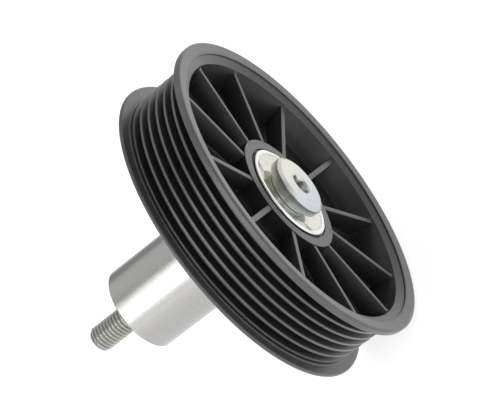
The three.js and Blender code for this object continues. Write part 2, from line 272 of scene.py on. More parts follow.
def turnedMarks(graph, radius, along, scale):
    # Noise that is the same all the way round the axis, as a lathe tool leaves it.
    lane = graph.node("ShaderNodeCombineXYZ", {}, {"X": radius, "Y": along})
    return noise(graph, lane, scale, detail=4, roughness=0.7)


def bump(graph, height, distance, strength=1.0):
    values = {"Height": height, "Distance": distance, "Strength": strength}
    return graph.node("ShaderNodeBump", {}, values, output="Normal")


# ---- materials

nylonLook = {"deep": (0.004, 0.004, 0.0045), "light": (0.017, 0.0165, 0.0155), "crestSheen": (0.09, 0.09, 0.087),
             "roughLow": 0.34, "roughHigh": 0.48, "grain": 3.2, "grainHeight": 0.00003, "shine": 0.3,
             "coatWeight": 0.7, "coatRough": 0.38, "coatIor": 1.59, "pocketMatt": 0.9,
             "crestSheenBand": (0.25, 0.05), "crestSheenShare": 0.55, "hubFade": 1.5, "boreFade": (0.6, 1.4),
             "pocketFade": (4.0, 9.5)}


def nylonMaterial():
    # Glass-filled nylon: a fine moulded grain, faint flow marks and a painted sheen that colours the crests
    # lighter grey.
    material, graph = newMaterial("nylon")
    place, along, radius = objectPlace(graph)
    cloud = noise(graph, place, 0.16, detail=4)
    grain = noise(graph, place, nylonLook["grain"], detail=3, roughness=0.6)
    flow = turnedMarks(graph, radius, along, 1.1)
    tone = (cloud * 0.6 + flow * 0.5 + grain * 0.3 - 0.25).clamped()
    plain = graph.mixed(tone, (*nylonLook["deep"], 1), (*nylonLook["light"], 1))
    # Painted sheen: a band at the crest radius is coloured lighter grey, standing in for the light the
    # crests reflect.
    low, high = nylonLook["crestSheenBand"]
    crest = radius.ramp(wheel["crestRadius"] - low, wheel["crestRadius"] - high)
    crestSheen = crest * nylonLook["crestSheenShare"] * (0.6 + cloud * 0.8)
    colour = graph.mixed(crestSheen.clamped(), plain, (*nylonLook["crestSheen"], 1))
    spread = nylonLook["roughHigh"] - nylonLook["roughLow"]
    roughness = nylonLook["roughLow"] + spread * (0.5 * grain + 0.5 * flow)
    # The floors of the pockets come matt from the mould; everything handled is smoother.
    fromMiddle = (along - (faceY / mm + wheel["width"] / 2)).math("ABSOLUTE")
    inside = radius.ramp(wheel["hubRadius"], wheel["hubRadius"] + nylonLook["hubFade"])
    low, high = nylonLook["boreFade"]
    inside = inside * (1 - radius.ramp(wheel["boreRadius"] - low, wheel["boreRadius"] + high))
    matt = inside * (1 - fromMiddle.ramp(*nylonLook["pocketFade"]))
    coat = nylonLook["coatWeight"] * (1 - matt * nylonLook["pocketMatt"])
    height = grain * 0.7 + flow * 0.5
    closeMaterial(graph, {"Base Color": colour, "Roughness": roughness, "IOR": 1.5,
                          "Specular IOR Level": nylonLook["shine"], "Coat Weight": coat,
                          "Coat Roughness": nylonLook["coatRough"], "Coat IOR": nylonLook["coatIor"],
                          "Normal": bump(graph, height, nylonLook["grainHeight"])})
    return material


zincLook = {"cream": (0.72, 0.70, 0.62), "cool": (0.54, 0.59, 0.63), "dull": (0.45, 0.45, 0.43),
            "roughLow": 0.24, "roughHigh": 0.4, "litSide": (0.45, 0.0, 0.89), "comb": (0.35, 1.0, 6.0),
            "dullShare": 0.4}


def zincMaterial():
    # Bright zinc plate: cream on one side and a cool cast on the other, which is painted light, the cream
    # side being the one the top lamp faces; brushed one way.
    material, graph = newMaterial("zincPlate")
    place = objectPlace(graph)[0]
    patches = noise(graph, place, 0.22, detail=3)
    peel = noise(graph, place, 1.7, detail=3, roughness=0.6)
    # Painted light: the side towards the top lamp is coloured creamier and brighter.
    towardsLitSide = graph.node("ShaderNodeVectorMath", {"operation": "DOT_PRODUCT"},
                      {0: place, 1: zincLook["litSide"]}, output="Value")
    combed = graph.node("ShaderNodeVectorMath", {"operation": "MULTIPLY"}, {0: place, 1: zincLook["comb"]})
    brushed = noise(graph, combed, 1.1, detail=4, roughness=0.65)
    side = (towardsLitSide * 0.07 + patches * 0.6 + 0.2).clamped()
    base = graph.mixed(side, (*zincLook["cool"], 1), (*zincLook["cream"], 1))
    colour = graph.mixed(brushed.ramp(0.35, 0.75) * zincLook["dullShare"], base, (*zincLook["dull"], 1))
    spread = zincLook["roughHigh"] - zincLook["roughLow"]
    roughness = zincLook["roughLow"] + spread * (0.5 * peel + 0.5 * brushed)
    closeMaterial(graph, {"Base Color": colour, "Metallic": 1.0, "Roughness": roughness,
                          "Normal": bump(graph, peel + brushed * 0.8, 0.000012)})
    return material


capLook = {"rim": (0.80, 0.80, 0.78), "shadedDish": (0.66, 0.65, 0.59), "reflectionStreak": (0.2, 0.21, 0.23),
           "rimHighlightStart": 16.15, "rimHighlightEnd": 16.5, "roughLow": 0.07, "roughHigh": 0.16}


def capMaterial():
    # Pressed and plated sheet: the rolled rim is coloured brighter as a painted highlight, round a smooth
    # dish coloured darker as painted shade, with dark rings painted in as reflections.
    material, graph = newMaterial("capPlate")
    place, along, radius = objectPlace(graph)
    rings = turnedMarks(graph, radius, along, 3.4)
    smear = noise(graph, place, 0.5, detail=4, roughness=0.6)
    # Painted reflection: dark rings in the dish stand for dark surroundings mirrored in it.
    reflectionStreaks = (rings * 0.9 + smear * 0.7 - 0.5).clamped().ramp(0.25, 0.6)
    shadedDish = graph.mixed(reflectionStreaks * 0.6, (*capLook["shadedDish"], 1), (*capLook["reflectionStreak"], 1))
    # Painted highlight: the rolled rim is coloured lighter than the dish, which carries painted shade.
    colour = graph.mixed(radius.ramp(capLook["rimHighlightStart"], capLook["rimHighlightEnd"]), shadedDish, (*capLook["rim"], 1))
    spread = capLook["roughHigh"] - capLook["roughLow"]
    roughness = capLook["roughLow"] + spread * smear
    closeMaterial(graph, {"Base Color": colour, "Metallic": 1.0, "Roughness": roughness,
                          "Normal": bump(graph, rings, 0.000008)})
    return material


threadLook = {"light": (0.62, 0.62, 0.58), "dark": (0.36, 0.36, 0.335), "roughLow": 0.4, "roughHigh": 0.6}


def threadMaterial():
    # The rolled thread, darker and duller than the head.
    material, graph = newMaterial("threadSteel")
    place, _, radius = objectPlace(graph)
    grime = noise(graph, place, 0.9, detail=4, roughness=0.6)
    fine = noise(graph, place, 5.0, detail=2)
    # Painted shade: the roots of the thread are coloured darker than its crests, under a random grime
    # mottle.
    depth = radius.ramp(bolt["minorRadius"], bolt["shankRadius"])
    shade = (depth * 0.75 + grime * 0.5 - 0.15).clamped()
    colour = graph.mixed(shade, (*threadLook["dark"], 1), (*threadLook["light"], 1))
    spread = threadLook["roughHigh"] - threadLook["roughLow"]
    roughness = threadLook["roughLow"] + spread * grime
    closeMaterial(graph, {"Base Color": colour, "Metallic": 1.0, "Roughness": roughness,
                          "Normal": bump(graph, fine, 0.00001)})
    return material


aluminiumLook = {"light": (0.49, 0.485, 0.475), "dark": (0.33, 0.325, 0.315),
                 "roughLow": 0.2, "roughHigh": 0.34}


def aluminiumMaterial():
    # Fine-turned bar: tool marks run round it, with a few deeper lines.
    material, graph = newMaterial("turnedAluminium")
    place, along, radius = objectPlace(graph)
    fine = turnedMarks(graph, radius, along, 7.0)
    coarse = turnedMarks(graph, radius, along, 0.8)
    handled = noise(graph, place, 0.12, detail=3)
    tone = (fine * 0.5 + coarse * 0.5 + handled * 0.3 - 0.15).clamped()
    colour = graph.mixed(tone, (*aluminiumLook["dark"], 1), (*aluminiumLook["light"], 1))
    spread = aluminiumLook["roughHigh"] - aluminiumLook["roughLow"]
    roughness = aluminiumLook["roughLow"] + spread * (0.6 * fine + 0.5 * handled)
    closeMaterial(graph, {"Base Color": colour, "Metallic": 1.0, "Roughness": roughness,
                          "Normal": bump(graph, fine + coarse * 0.4, 0.000006)})
    return material


def steelMaterial(name, light, dark, roughLow, roughHigh, height):
    # Ground or pressed steel: circular marks over a faint mottle.
    material, graph = newMaterial(name)
    place, along, radius = objectPlace(graph)
    marks = turnedMarks(graph, radius, along, 5.0)
    mottle = noise(graph, place, 0.8, detail=3)
    colour = graph.mixed((marks * 0.5 + mottle * 0.5).clamped(), (*dark, 1), (*light, 1))
    roughness = roughLow + (roughHigh - roughLow) * mottle
    closeMaterial(graph, {"Base Color": colour, "Metallic": 1.0, "Roughness": roughness,
                          "Normal": bump(graph, marks, height)})
    return material


rubberLook = {"deep": (0.006, 0.006, 0.006), "dusty": (0.03, 0.029, 0.027), "roughness": 0.62}


def rubberMaterial():
    material, graph = newMaterial("sealRubber")
    place, along, radius = objectPlace(graph)
    dust = noise(graph, place, 1.2, detail=4)
    rings = turnedMarks(graph, radius, along, 3.0)
    colour = graph.mixed(dust.ramp(0.4, 0.75), (*rubberLook["deep"], 1), (*rubberLook["dusty"], 1))
    roughness = rubberLook["roughness"] + 0.2 * dust
    closeMaterial(graph, {"Base Color": colour, "Roughness": roughness,
                          "Normal": bump(graph, rings + dust * 0.5, 0.00002)})
    return material


# ---- Geometry Nodes

def newGeometryTree(name, inputs):
    tree = bpy.data.node_groups.new(name, "GeometryNodeTree")
    tree.interface.new_socket("Geometry", in_out="INPUT", socket_type="NodeSocketGeometry")
    for label, kind in inputs.items():
        tree.interface.new_socket(label, in_out="INPUT", socket_type="NodeSocket" + kind)
    tree.interface.new_socket("Geometry", in_out="OUTPUT", socket_type="NodeSocketGeometry")
    graph = Graph(tree)
    return tree, graph, graph.node("NodeGroupInput")


def closeGeometryTree(graph, geometry, material):
    plain = graph.node("GeometryNodeRealizeInstances", {}, {"Geometry": geometry})
    painted = graph.node("GeometryNodeSetMaterial", {}, {"Geometry": plain, "Material": material})
    graph.node("NodeGroupOutput", {}, {"Geometry": painted})


def repeatTree():
    # Copies one sector round the Y axis and welds the copies along their sides.
    inputs = {"Count": "Int", "Weld": "Float", "Material": "Material"}
    tree, graph, given = newGeometryTree("repeatRound", inputs)
    spots = graph.node("GeometryNodePoints", {}, {"Count": given.out("Count")})
    index = graph.node("GeometryNodeInputIndex")
    turn = index * fullTurn / given.out("Count")
    rotation = graph.node("ShaderNodeCombineXYZ", {}, {"Y": turn})
    copies = graph.node("GeometryNodeInstanceOnPoints", {},
                        {"Points": spots, "Instance": given.out("Geometry"), "Rotation": rotation})
    plain = graph.node("GeometryNodeRealizeInstances", {}, {"Geometry": copies})
    welded = graph.node("GeometryNodeMergeByDistance", {},
                        {"Geometry": plain, "Distance": given.out("Weld")})
    closeGeometryTree(graph, welded, given.out("Material"))
    return tree


def threadTree():
    # Presses a right-hand 60 degree thread into a bar along Y, between Start and End.
    # The groove grows shallow over Runout at its Start.
    tree, graph, given = newGeometryTree("pressThread", {
        "Pitch": "Float", "Groove": "Float", "Start": "Float", "End": "Float",
        "Runout": "Float", "Material": "Material"})
    place = graph.node("GeometryNodeInputPosition")
    parts = graph.node("ShaderNodeSeparateXYZ", {}, {0: place})
    along = parts.out("Y")
    angle = parts.out("X").math("ARCTAN2", parts.out("Z"))
    turns = along / given.out("Pitch") - angle / fullTurn
    wave = (turns.math("FRACT") - 0.5).math("ABSOLUTE") * 2
    crest = ((wave - 0.2) / 0.66).clamped()
    started = ((along - given.out("Start")) / given.out("Runout")).clamped()
    within = along.math("LESS_THAN", given.out("End"))
    cut = (1 - crest) * started * within * given.out("Groove")
    radius = (parts.out("X") * parts.out("X") + parts.out("Z") * parts.out("Z")).math("SQRT")
    onBar = radius.math("GREATER_THAN", given.out("Groove"))
    inward = graph.node("ShaderNodeCombineXYZ", {}, {"X": parts.out("X"), "Z": parts.out("Z")})
    shrink = 0 - cut * onBar / radius.math("MAXIMUM", given.out("Groove"))
    offset = graph.node("ShaderNodeVectorMath", {"operation": "SCALE"}, {0: inward, "Scale": shrink})
    moved = graph.node("GeometryNodeSetPosition", {}, {"Geometry": given.out("Geometry"), "Offset": offset})
    closeGeometryTree(graph, moved, given.out("Material"))
    return tree


def grown(source, tree, values, name, sharpAngle=40):
    # Runs a tree on an object and keeps the result as a plain mesh in a new object.
    modifier = source.modifiers.new("grow", "NODES")
    modifier.node_group = tree
    for item in tree.interface.items_tree:
        if item.in_out == "INPUT" and item.name in values:
            modifier[item.identifier] = values[item.name]
    mesh = bpy.data.meshes.new_from_object(source.evaluated_get(depsgraph()))
    mesh.name = name
    old = source.data
    bpy.data.objects.remove(source)
    bpy.data.meshes.remove(old)
    return smoothObject(mesh, name, sharpAngle)


def settle(piece, body, slotName, *nodes, material=None):
    # Last step for a piece: its finish, the body it rides on and the nodes it stands for.
    if material:
        piece.data.materials.clear()
        piece.data.materials.append(material)
    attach(piece, body)
    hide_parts(*nodes)
    return piece


# ---- the pulley: one 30 degree sector, from rim to hub, repeated round the axis

wheel = {"spokes": 12, "width": 27.5, "flangeRadius": 60.2, "rearRadius": 60.6, "faceInner": 55.4,
         "mouthRadius": 52.6, "mouthDepth": 2.6, "boreRadius": 50.0, "crestRadius": 56.3,
         "grooves": 6, "pitch": 3.56, "firstGroove": 5.12, "grooveDepth": 3.0, "rootHalf": 0.25,
         "grooveAngle": 20, "webFront": 12.0, "webRear": 15.5, "hubRadius": 22.4, "hubFront": 5.5,
         "hubRear": 21.0, "lipRadius": 18.5, "innerLip": 17.95, "bearingRadius": 20.05,
         "spokeRimSet": 3.6, "spokeHubSet": 5.8, "collarRadius": 24.4, "collarHeight": 0.7}


def grooveCorners():
    slope = math.tan(math.radians(wheel["grooveAngle"]))
    root = wheel["crestRadius"] - wheel["grooveDepth"]
    half = wheel["rootHalf"] + wheel["grooveDepth"] * slope
    corners = []
    for i in range(wheel["grooves"]):
        middle = wheel["firstGroove"] + i * wheel["pitch"]
        if i:
            corners.append((wheel["crestRadius"], middle - half, 0.22))
        corners.append((root, middle - wheel["rootHalf"], 0.2))
        corners.append((root, middle + wheel["rootHalf"], 0.2))
        corners.append((wheel["crestRadius"], middle + half, 0.22))
    return corners


def rimOutline():
    slope = math.tan(math.radians(wheel["grooveAngle"]))
    rise = wheel["flangeRadius"] - wheel["crestRadius"] + wheel["grooveDepth"]
    wallTop = wheel["firstGroove"] - wheel["rootHalf"] - rise * slope
    crest = wheel["crestRadius"]
    width = wheel["width"]
    corners = [
        (wheel["mouthRadius"], wheel["mouthDepth"], 0),
        (wheel["faceInner"], 1.15, 0.15),
        (wheel["faceInner"], 0.55, 0.25),
        (wheel["flangeRadius"] - 0.9, 0.0, 0.4),
        (wheel["flangeRadius"], 0.35, 0.4),
        (wheel["flangeRadius"], wallTop, 0.35),
        *grooveCorners(),
        (crest, 24.95, 0.18),
        (crest - 0.6, 25.1, 0.08),
        (crest - 0.6, 25.3, 0.08),
        (crest + 0.7, 25.45, 0.18),
        (crest + 0.75, 25.75, 0.1),
        (wheel["rearRadius"] - 0.3, 25.95, 0.35),
        (wheel["rearRadius"], 26.5, 0.3),
        (wheel["rearRadius"], width - 0.45, 0.35),
        (wheel["rearRadius"] - 0.7, width, 0.35),
        (wheel["faceInner"], width, 0.3),
        (wheel["mouthRadius"], width - 0.5, 0),
    ]
    return roundOutline(corners, closed=False)


def hubOutline():
    edge = 0.4
    bearingFront = (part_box("bearing_outer_ring")[0].y - faceY) / mm
    bearingRear = (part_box("bearing_outer_ring")[1].y - faceY) / mm
    hub = wheel["hubRadius"]
    lip = wheel["lipRadius"]
    bore = wheel["bearingRadius"]
    corners = [
        (hub, wheel["hubRear"] - edge, 0),
        (hub, wheel["hubRear"], edge),
        (lip, wheel["hubRear"], 0.3),
        (lip, bearingRear + 0.05, 0.15),
        (bore, bearingRear + 0.05, 0.1),
        (bore, bearingFront - 0.05, 0.1),
        (wheel["innerLip"], bearingFront - 0.05, 0.05),
        (wheel["innerLip"], bearingFront - 0.45, 0.15),
        (lip, bearingFront - 0.65, 0.15),
        (lip, wheel["hubFront"], 0.3),
        (hub, wheel["hubFront"], edge),
        (hub, wheel["hubFront"] + edge, 0),
    ]
    return roundOutline(corners, closed=False)


# Lines across half a spoke: offset from its middle, drop from its edge, rise from the web.
spokeLines = [(0.0, 0.0, None), (0.78, 0.0, None), (0.93, 0.06, None), (1.0, 0.22, None),
              (1.2, None, 0.9), (1.36, None, 0.42), (1.7, None, 0.1), (2.2, None, 0.0)]
pocketLines = 5
faceRadii = [22.5, 22.62, 22.74, 22.86, 23.0, 23.3, 23.8, 24.2, 24.4, 24.7, 25.4, 27, 30, 34, 38, 42,
             45.5, 48, 49.2, 49.8, 50.15, 50.45, 50.8, 51.2, 51.7, 52.2, 52.5]


def sectorAngles(radius):
    # Angles across one sector, which has a spoke in its middle.
    edge = math.pi / wheel["spokes"]
    half = [offset / radius for offset, _, _ in spokeLines]
    last = half[-1]
    half += [last + (edge - last) * (i + 1) / pocketLines for i in range(pocketLines)]
    return [-angle for angle in reversed(half[1:])] + half


def smoothMax(first, second, blend):
    overlap = max(blend - abs(first - second), 0) / blend
    return max(first, second) + overlap * overlap * blend / 4


def spokeRise(line, edgeRise):
    # Height of the spoke above the web on one of its lines.
    if line >= len(spokeLines):
        return 0.0
    _, drop, rise = spokeLines[line]
    return rise if drop is None else edgeRise - drop


def faceRise(radius, line, side):
    # Height above the web, from the spoke, the rim's sloping bore and the hub's wall.
    span = wheel["mouthRadius"] - wheel["hubRadius"]
    share = (radius - wheel["hubRadius"]) / span
    edgeRise = side["spokeHub"] + (side["spokeRim"] - side["spokeHub"]) * share
    rim = (radius - wheel["boreRadius"]) * side["mouth"] / (wheel["mouthRadius"] - wheel["boreRadius"])
    hub = side["hub"] * (1 - (radius - wheel["hubRadius"]) / 0.45)
    floor = side["collar"] * max(0, min(1, (wheel["collarRadius"] - radius) / 0.3 + 1))
    rise = max(spokeRise(line, edgeRise), floor)
    rise = smoothMax(rise, rim, 1.4)
    return smoothMax(rise, hub, 1.0)


def faceRings(side):
    rings = []
    for radius in faceRadii:
        angles = sectorAngles(radius)
        middle = len(angles) // 2
        ring = []
        for i, angle in enumerate(angles):
            rise = faceRise(radius, abs(i - middle), side)
            ring.append(placed(radius, side["web"] + side["way"] * rise, angle))
        rings.append(ring)
    return rings


def makePulley(material):
    front = {"web": wheel["webFront"], "way": -1, "collar": wheel["collarHeight"],
             "mouth": wheel["webFront"] - wheel["mouthDepth"],
             "hub": wheel["webFront"] - wheel["hubFront"] - 0.4,
             "spokeRim": wheel["webFront"] - wheel["spokeRimSet"],
             "spokeHub": wheel["webFront"] - wheel["spokeHubSet"]}
    rear = {"web": wheel["webRear"], "way": 1, "collar": 0.0,
            "mouth": wheel["width"] - 0.5 - wheel["webRear"],
            "hub": wheel["hubRear"] - wheel["webRear"] - 0.4,
            "spokeRim": wheel["width"] - wheel["spokeRimSet"] - wheel["webRear"],
            "spokeHub": wheel["hubRear"] - 0.3 - wheel["webRear"]}
    rimAngles = sectorAngles(wheel["mouthRadius"])
    hubAngles = sectorAngles(wheel["hubRadius"])
    rings = [[placed(r, d, a) for a in rimAngles] for r, d in rimOutline()]
    rings += reversed(faceRings(rear))
    rings += [[placed(r, d, a) for a in hubAngles] for r, d in hubOutline()]
    rings += faceRings(front)
    bm = bmesh.new()
    made = [[bm.verts.new(point) for point in ring] for ring in rings]
    for near, far in zip(made, made[1:] + made[:1]):
        for i in range(len(near) - 1):
            bm.faces.new((near[i], near[i + 1], far[i + 1], far[i]))
    sector = finishMesh(bm, "sector")
    values = {"Count": wheel["spokes"], "Weld": 1e-6, "Material": material}
    pulley = grown(sector, repeatTree(), values, "pulleyWheel")
    fixNormals(pulley)
    return settle(pulley, "rotor", "nylon", "pulley")


def fixNormals(piece):
    bm = bmesh.new()
    bm.from_mesh(piece.data)
    bmesh.ops.recalc_face_normals(bm, faces=bm.faces)
    bm.to_mesh(piece.data)
    bm.free()


# ---- the bolt

bolt = {"steps": 96, "topRadius": 10.0, "headRadius": 11.5, "bevel": 0.9, "flange": 3.8, "neckRadius": 8.6,
        "socketFlats": 7.0, "socketMouth": 4.37, "socketDepth": 4.5, "shankRadius": 5.0, "beyond": 21.0,
        "threadLength": 30.0, "pitch": 1.5, "minorRadius": 4.1, "chamfer": 1.0, "rowsPerTurn": 14}


def hexRadius(angle):
    sixth = math.pi / 3
    local = (angle - sixth / 2) % sixth - sixth / 2
    return bolt["socketFlats"] / 2 / math.cos(local)


def socketRow(coneRadius):
    return lambda angle: max(hexRadius(angle), coneRadius)


def boltOutline():
    seat = (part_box("bearing_inner_ring")[0].y - faceY) / mm - 0.9
    mouth = bolt["socketMouth"]
    flat = bolt["socketFlats"] / 2
    socket = [(0.0, bolt["socketDepth"] + 0.9), (flat * 0.8, bolt["socketDepth"] + 0.05),
              (flat * 0.84, bolt["socketDepth"])]
    socket += [(socketRow(0), bolt["socketDepth"]), (socketRow(0), bolt["socketDepth"] - 0.1)]
    socket += [(socketRow(mouth - depth), depth) for depth in (0.95, 0.6, 0.45, 0.33, 0.22, 0.12)]
    head = roundOutline([
        (mouth, 0.06, 0), (mouth + 0.1, 0.0, 0.06), (bolt["topRadius"], 0.0, 0.7),
        (bolt["headRadius"], bolt["bevel"], 0.5), (bolt["headRadius"], bolt["flange"], 0.35),
        (bolt["neckRadius"], bolt["flange"], 0.15), (bolt["neckRadius"], seat, 0.15),
        (bolt["shankRadius"], seat, 0.2), (bolt["shankRadius"], seat + 2, 0)], closed=False)
    tip = seatDepth + bolt["beyond"]
    start = tip - bolt["threadLength"]
    rows = int(bolt["threadLength"] / bolt["pitch"] * bolt["rowsPerTurn"])
    shank = [(bolt["shankRadius"], start - 1)]
    for i in range(rows + 1):
        depth = start + (tip - start) * i / rows
        radius = min(bolt["shankRadius"], bolt["shankRadius"] + tip - bolt["chamfer"] - depth)
        shank.append((radius, depth))
    shank += [(bolt["shankRadius"] - bolt["chamfer"] - 0.4, tip), (0.0, tip)]
    return socket + head + shank


def makeBolt(headMaterial, screwMaterial):
    blank = revolve("boltBlank", boltOutline(), bolt["steps"], closed=False)
    tipY = faceY + (seatDepth + bolt["beyond"]) * mm
    values = {"Pitch": bolt["pitch"] * mm, "Groove": (bolt["shankRadius"] - bolt["minorRadius"]) * mm,
              "Start": tipY - bolt["threadLength"] * mm, "End": tipY - 0.2 * mm, "Runout": 2 * mm,
              "Material": headMaterial}
    piece = grown(blank, threadTree(), values, "throughBolt")
    piece.data.materials.append(screwMaterial)
    threadY = tipY - bolt["threadLength"] * mm
    for polygon in piece.data.polygons:
        if polygon.center.y > threadY:
            polygon.material_index = 1
    return settle(piece, "root", "zinc_plate", "bolt")


# ---- dust cap and spacer

cap = {"steps": 144, "radius": 17.8, "rimRadius": 16.9, "rimDepth": 4.7, "sheet": 0.8, "skirt": 6.3,
       "seatRadius": 12.3, "bore": 5.35}


def makeCap(material):
    back = (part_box("bearing_inner_ring")[0].y - faceY) / mm - 0.05
    front = back - cap["sheet"]
    outline = roundOutline([
        (cap["bore"], front, 0.2), (cap["seatRadius"], front, 1.2), (cap["rimRadius"], cap["rimDepth"], 0.5),
        (cap["radius"], cap["rimDepth"] + 0.25, 0.45), (cap["radius"], cap["skirt"], 0.2),
        (cap["radius"] - cap["sheet"], cap["skirt"], 0.2),
        (cap["radius"] - cap["sheet"], cap["rimDepth"] + 0.85, 0.25), (cap["seatRadius"], back, 1.0),
        (cap["bore"], back, 0.2)], steps=4)
    piece = revolve("dustCapDish", outline, cap["steps"])
    return settle(piece, "root", "zinc_plate", "dust_cap", material=material)


spacer = {"steps": 160, "radius": 16.25, "bore": 5.25, "nose": 8.45, "shoulder": 11.2, "shoulderRise": 1.2,
          "chamfer": 0.5}


def makeSpacer(material):
    noseFront = (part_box("spacer")[0].y - faceY) / mm
    shoulder = (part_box("bearing_inner_ring")[1].y - faceY) / mm + 0.05
    back = shoulder + spacer["shoulderRise"]
    edge = spacer["chamfer"]
    outer = spacer["radius"]
    outline = roundOutline([
        (spacer["bore"], noseFront, 0.2), (spacer["nose"], noseFront, 0.4), (spacer["nose"], shoulder, 0.15),
        (spacer["shoulder"], shoulder, 0.2), (spacer["shoulder"], back, 0.3), (outer - edge, back, 0.15),
        (outer, back + edge, 0.15), (outer, seatDepth - edge, 0.2), (outer - edge, seatDepth, 0.2),
        (spacer["bore"] + edge, seatDepth, 0.15), (spacer["bore"], seatDepth - edge, 0.15)])
    piece = revolve("spacerTube", outline, spacer["steps"])
    return settle(piece, "root", "aluminium", "spacer", material=material)


# ---- the bearing

bearing = {"steps": 128, "balls": 8, "ballRadius": 3.3735, "pitchRadius": 14.25, "raceRadius": 3.5,
           "halfWidth": 6.0, "outer": 20.0, "bore": 8.5, "outerShoulder": 16.9, "innerShoulder": 11.6,
           "sealSeat": 17.9, "sealDepth": 1.1, "sealInner": 11.8, "sealOuter": 17.8, "sealThick": 0.9}
middleDepth = (sum(corner.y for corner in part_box("ball_1")) / 2 - faceY) / mm


def raceArc(shoulder, way, steps=10):
    half = math.acos(abs(shoulder - bearing["pitchRadius"]) / bearing["raceRadius"])
    points = []
    for i in range(steps + 1):
        angle = half * (2 * i / steps - 1)
        points.append((bearing["pitchRadius"] + way * bearing["raceRadius"] * math.cos(angle),
                       middleDepth + bearing["raceRadius"] * math.sin(angle)))
    return points


def makeOuterRing(material):
    front = middleDepth - bearing["halfWidth"]
    rear = middleDepth + bearing["halfWidth"]
    seat = bearing["sealDepth"]
    race = raceArc(bearing["outerShoulder"], 1)
    body = roundOutline([
        (race[-1][0], race[-1][1], 0), (bearing["outerShoulder"], rear - seat, 0.1),
        (bearing["sealSeat"], rear - seat, 0.1), (bearing["sealSeat"], rear, 0.15),
        (bearing["outer"], rear, 0.6), (bearing["outer"], front, 0.6),
        (bearing["sealSeat"], front, 0.15), (bearing["sealSeat"], front + seat, 0.1),
        (bearing["outerShoulder"], front + seat, 0.1), (race[0][0], race[0][1], 0)], closed=False)
    piece = revolve("bearingOuterRing", body + race[1:-1], bearing["steps"])
    return settle(piece, "rotor", "bearing_steel", "bearing_outer_ring", material=material)


def makeInnerRing(material):
    front = middleDepth - bearing["halfWidth"]
    rear = middleDepth + bearing["halfWidth"]
    race = raceArc(bearing["innerShoulder"], -1)
    body = roundOutline([
        (race[-1][0], race[-1][1], 0), (bearing["innerShoulder"], rear, 0.3),
        (bearing["bore"], rear, 0.6), (bearing["bore"], front, 0.6),
        (bearing["innerShoulder"], front, 0.3), (race[0][0], race[0][1], 0)], closed=False)
    piece = revolve("bearingInnerRing", body + race[1:-1], bearing["steps"])
    return settle(piece, "root", "bearing_steel", "bearing_inner_ring", material=material)


def makeSeal(name, node, way, material):
    # way is -1 for the front seal: its outer face looks towards the bolt's head.
    face = middleDepth + way * (bearing["halfWidth"] - 0.1)
    back = face - way * bearing["sealThick"]
    inner = bearing["sealInner"]
    outer = bearing["sealOuter"]
    outline = roundOutline([
        (inner, back, 0.1), (inner, face - way * 0.35, 0.12), (inner + 0.7, face - way * 0.35, 0.12),
        (inner + 1.1, face, 0.15), (outer - 1.4, face, 0.12), (outer - 1.2, face - way * 0.25, 0.1),
        (outer - 0.8, face - way * 0.25, 0.1), (outer - 0.6, face, 0.1), (outer, face, 0.2),
        (outer, back, 0.2)])
    piece = revolve(name, outline, bearing["steps"])
    return settle(piece, "rotor", "seal_rubber", node, material=material)


def makeBall(number, material):
    low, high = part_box(f"ball_{number}")
    centre = (low + high) / 2
    steps = 24
    arc = []
    for i in range(steps + 1):
        angle = math.pi * i / steps
        arc.append((bearing["ballRadius"] * math.sin(angle),
                    middleDepth - bearing["ballRadius"] * math.cos(angle)))
    arc[0] = (0.0, arc[0][1])
    arc[-1] = (0.0, arc[-1][1])
    place = (centre.x / mm, centre.z / mm)
    piece = revolve(f"bearingBall{number}", arc, 2 * steps, closed=False, centre=place)
    return settle(piece, f"ball_{number}", "bearing_steel", f"ball_{number}", material=material)


cage = {"inner": 13.0, "outer": 15.5, "sheet": 0.72, "pocket": 3.62, "gap": 0.05, "arcSteps": 22,
        "rivetHead": 0.85, "rivetRise": 0.42, "rivetShank": 0.45}


def cageSector(way):
    # An eighth of one pressed half: flat, over the ball in an arch, flat again.
    half = cage["sheet"] / 2
    level = cage["gap"] + half
    arch = cage["pocket"] + half
    start = math.asin(level / arch)
    line = []
    for i in range(cage["arcSteps"] + 1):
        angle = start + (math.pi - 2 * start) * i / cage["arcSteps"]
        line.append((-arch * math.cos(angle), arch * math.sin(angle), -math.cos(angle), math.sin(angle)))
    edge = math.pi / bearing["balls"] * bearing["pitchRadius"]
    first = line[0][0]
    line = [(-edge, level, 0, 1), (first - 0.3, level, 0, 1)] + line
    line += [(0.3 - first, level, 0, 1), (edge, level, 0, 1)]
    bm = bmesh.new()
    rings = []
    for across, height, leanAcross, leanUp in line:
        ring = []
        corners = ((cage["inner"], -1), (cage["outer"], -1), (cage["outer"], 1), (cage["inner"], 1))
        for radius, way2 in corners:
            offset = across + way2 * half * leanAcross
            rise = max(height + way2 * half * leanUp, cage["gap"])
            angle = offset / bearing["pitchRadius"]
            ring.append(bm.verts.new(placed(radius, middleDepth + way * rise, angle)))
        rings.append(ring)
    for near, far in zip(rings, rings[1:]):
        for i in range(4):
            bm.faces.new((near[i], near[(i + 1) % 4], far[(i + 1) % 4], far[i]))
    return finishMesh(bm, "cageSector")


def makeCageHalf(name, node, way, tree, material):
    values = {"Count": bearing["balls"], "Weld": 1e-6, "Material": material}
    piece = grown(cageSector(way), tree, values, name)
    fixNormals(piece)
    return settle(piece, "cage", "pressed_steel", node)


